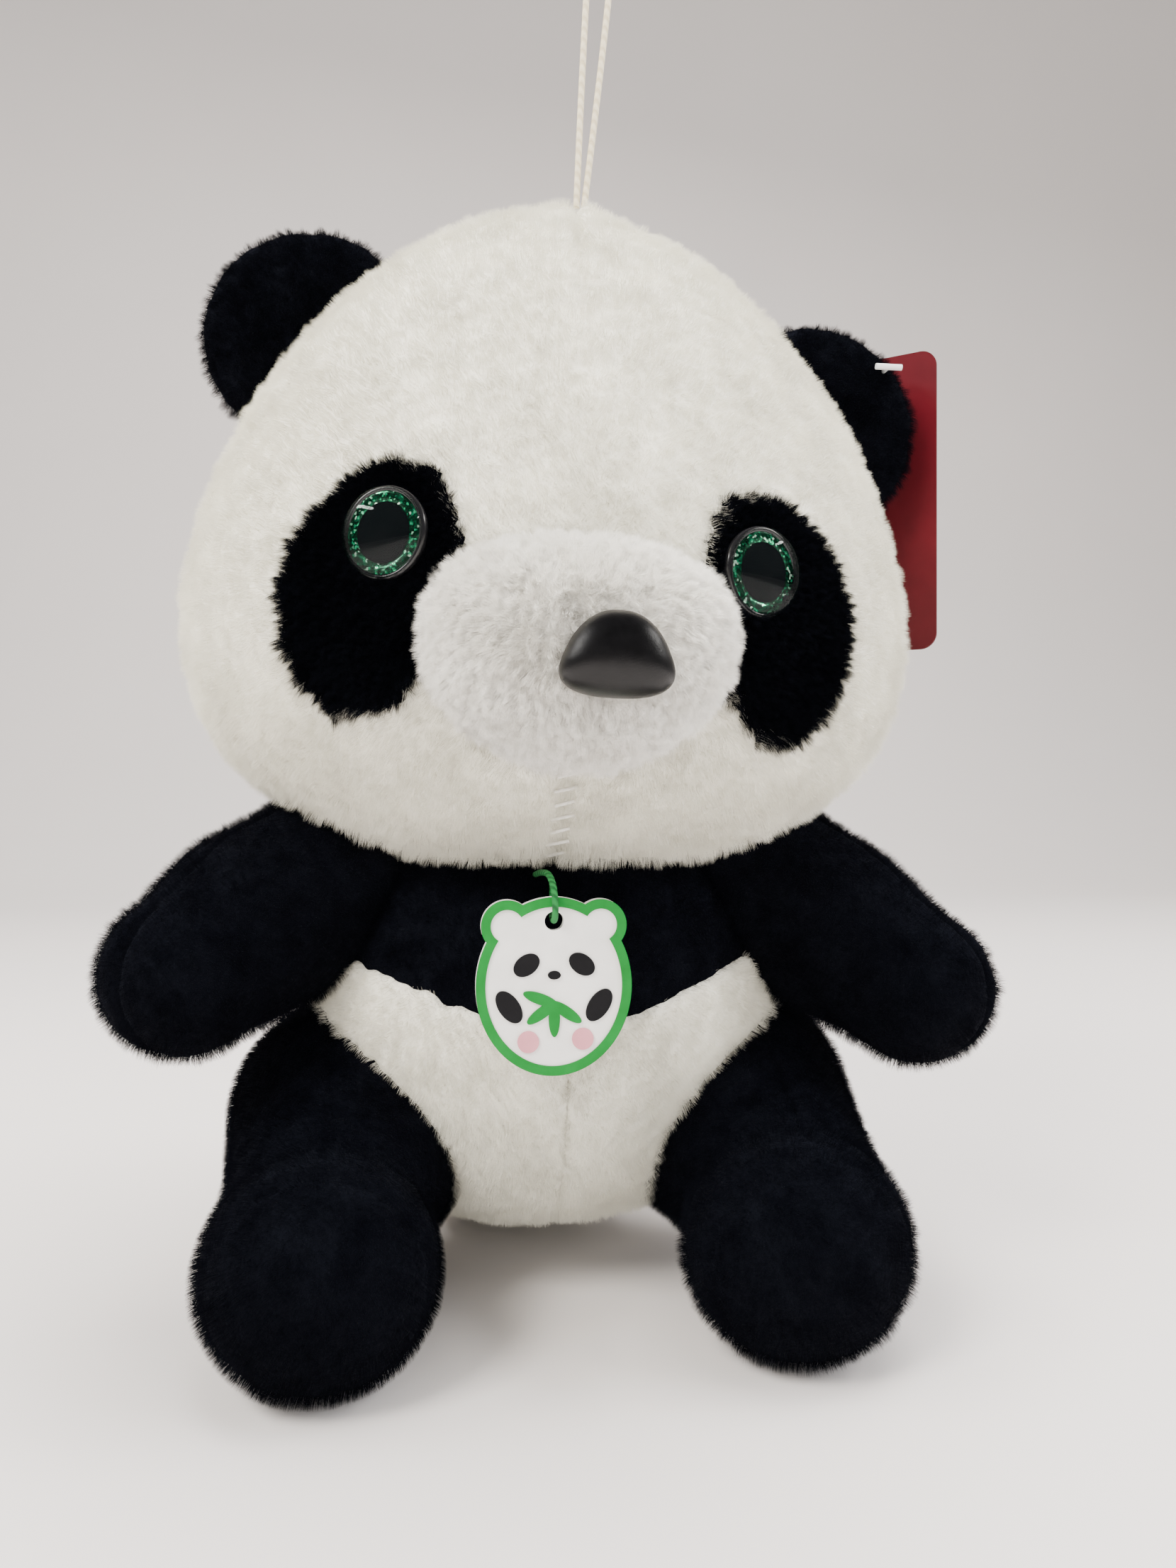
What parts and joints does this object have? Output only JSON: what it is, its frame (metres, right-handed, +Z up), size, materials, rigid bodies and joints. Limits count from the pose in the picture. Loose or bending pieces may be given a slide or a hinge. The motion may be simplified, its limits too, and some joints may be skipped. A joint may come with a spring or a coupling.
{
  "type": "plush panda",
  "caption": "Seated soft toy panda with sewn plush skins over stuffing, glitter safety eyes, a moulded nose, a chest charm, a swing tag and a hanging loop.",
  "frame": {"origin": "on the ground under the neck's pivot, at the middle of the flat seat", "axes": "+Z up; -Y the way the panda faces; +X its own left side"},
  "size_m": [0.2404, 0.2194, 0.3781],
  "materials": {
    "white_plush": "short plush pile",
    "black_plush": "short plush pile",
    "filling": "fibre",
    "nose_plastic": "satin",
    "washer_plastic": "matte",
    "eye_plastic": "gloss",
    "glitter_iris": "glitter",
    "clear_lens": "clear gloss",
    "cream_cord": "satin braid",
    "green_cord": "braid",
    "red_card": "coated card",
    "fastener_plastic": "moulded",
    "charm_white": "soft moulded",
    "charm_green": "soft moulded",
    "charm_black": "soft moulded",
    "charm_pink": "soft moulded"
  },
  "bodies": {
    "trunk": {"chest_panel": "black_plush", "belly_panel_left": "white_plush", "belly_panel_right": "white_plush", "back_panel_left": "white_plush", "back_panel_right": "white_plush", "trunk_stuffing": "filling", "tail": "white_plush", "charm_cord": "green_cord"},
    "neck": {"neck_stuffing": "filling"},
    "head": {"face_panel_left": "white_plush", "face_panel_right": "white_plush", "head_back_left": "white_plush", "head_back_right": "white_plush", "head_stuffing": "filling", "loop_knot": "cream_cord", "muzzle_cover": "white_plush", "muzzle_stuffing": "filling", "nose": "nose_plastic", "nose_washer": "washer_plastic", "eye_patch_left": "black_plush", "eye_patch_right": "black_plush", "eye_backing_left": "eye_plastic", "eye_backing_right": "eye_plastic", "eye_iris_left": "glitter_iris", "eye_iris_right": "glitter_iris", "eye_lens_left": "clear_lens", "eye_lens_right": "clear_lens", "eye_washer_left": "washer_plastic", "eye_washer_right": "washer_plastic", "hanging_loop": "cream_cord"},
    "ear_left": {"ear_front_left": "black_plush", "ear_back_left": "black_plush", "tag_fastener": "fastener_plastic"},
    "ear_right": {"ear_front_right": "black_plush", "ear_back_right": "black_plush"},
    "tag": {"hang_tag": "red_card"},
    "charm": {"charm_plate": "charm_white", "charm_rim": "charm_green", "charm_leaf": "charm_green", "charm_marks": "charm_black", "charm_pads": "charm_pink"},
    "arm_left": {"arm_front_left": "black_plush", "arm_back_left": "black_plush", "arm_stuffing_left": "filling"},
    "leg_left": {"leg_outer_left": "black_plush", "leg_inner_left": "black_plush", "foot_sole_left": "black_plush", "leg_stuffing_left": "filling"},
    "arm_right": {"arm_front_right": "black_plush", "arm_back_right": "black_plush", "arm_stuffing_right": "filling"},
    "leg_right": {"leg_outer_right": "black_plush", "leg_inner_right": "black_plush", "foot_sole_right": "black_plush", "leg_stuffing_right": "filling"}
  },
  "joints": [
    {"name": "head_turn", "type": "hinge", "parent": "trunk", "child": "neck", "pos_m": [0, 0, 0.104], "axis": [0, 0, 1], "range_deg": [-20, 20], "stiffness_Nm_per_rad": 1.2},
    {"name": "head_nod", "type": "hinge", "parent": "neck", "child": "head", "pos_m": [0, 0, 0.104], "axis": [1, 0, 0], "range_deg": [-10, 3], "stiffness_Nm_per_rad": 6},
    {"name": "tag_swing", "type": "hinge", "parent": "ear_left", "child": "tag", "pos_m": [0.10499, 0.03256, 0.26003], "axis": [0.766, -0.6428, 0], "range_deg": [-1, 25]},
    {"name": "charm_swing", "type": "hinge", "parent": "trunk", "child": "charm", "pos_m": [-0.004, -0.065, 0.103], "axis": [-1, 0, 0], "range_deg": [0, 25]},
    {"name": "arm_left_swing", "type": "hinge", "parent": "trunk", "child": "arm_left", "pos_m": [0.055, -0.013, 0.104], "axis": [-0.1921, 0.1537, -0.9693], "range_deg": [-12, 20], "stiffness_Nm_per_rad": 0.35},
    {"name": "leg_left_splay", "type": "hinge", "parent": "trunk", "child": "leg_left", "pos_m": [0.054, -0.024, 0.038], "axis": [0, 0, 1], "range_deg": [-4, 15], "stiffness_Nm_per_rad": 0.8},
    {"name": "ear_left_flop", "type": "hinge", "parent": "head", "child": "ear_left", "pos_m": [0.07911, 0.01274, 0.24666], "axis": [0.5469, -0.0283, -0.8367], "range_deg": [-1, 14], "stiffness_Nm_per_rad": 0.12},
    {"name": "arm_right_swing", "type": "hinge", "parent": "trunk", "child": "arm_right", "pos_m": [-0.055, -0.013, 0.104], "axis": [-0.1921, -0.1537, 0.9693], "range_deg": [-12, 20], "stiffness_Nm_per_rad": 0.35},
    {"name": "leg_right_splay", "type": "hinge", "parent": "trunk", "child": "leg_right", "pos_m": [-0.054, -0.024, 0.038], "axis": [0, 0, -1], "range_deg": [-4, 15], "stiffness_Nm_per_rad": 0.8},
    {"name": "ear_right_flop", "type": "hinge", "parent": "head", "child": "ear_right", "pos_m": [-0.05804, 0.01922, 0.25577], "axis": [-0.6528, 0.0283, -0.757], "range_deg": [-14, 14], "stiffness_Nm_per_rad": 0.12}
  ]
}
